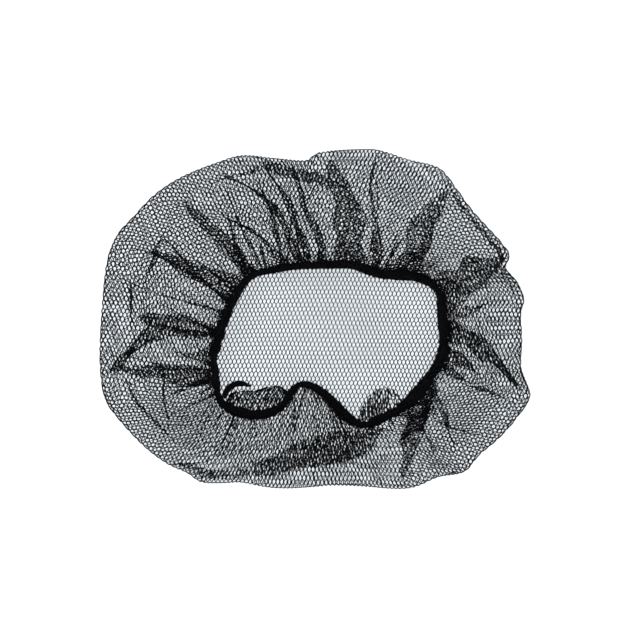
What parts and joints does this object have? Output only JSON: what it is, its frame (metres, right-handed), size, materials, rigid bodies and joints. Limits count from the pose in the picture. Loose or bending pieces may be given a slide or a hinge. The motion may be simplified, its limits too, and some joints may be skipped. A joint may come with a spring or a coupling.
{
  "type": "hairnet",
  "caption": "Black nylon mesh hairnet lying open side up: a flat crown, a gathered ring folded back over it and an elastic band with a short free end.",
  "frame": {"origin": "middle of the box on the surface that the crown lies on", "axes": "+X to the right in the picture, along the long side; +Y up in the picture; +Z up from the surface, out of the opening"},
  "size_m": [0.2804, 0.2214, 0.0261],
  "materials": {
    "net": "black nylon thread, knotted to a six-sided mesh, soft sheen",
    "elastic": "black covered elastic cord, matt, ruched"
  },
  "bodies": {
    "root": {"net": "net", "elastic_band": "elastic", "elastic_tail": "elastic"}
  },
  "joints": []
}
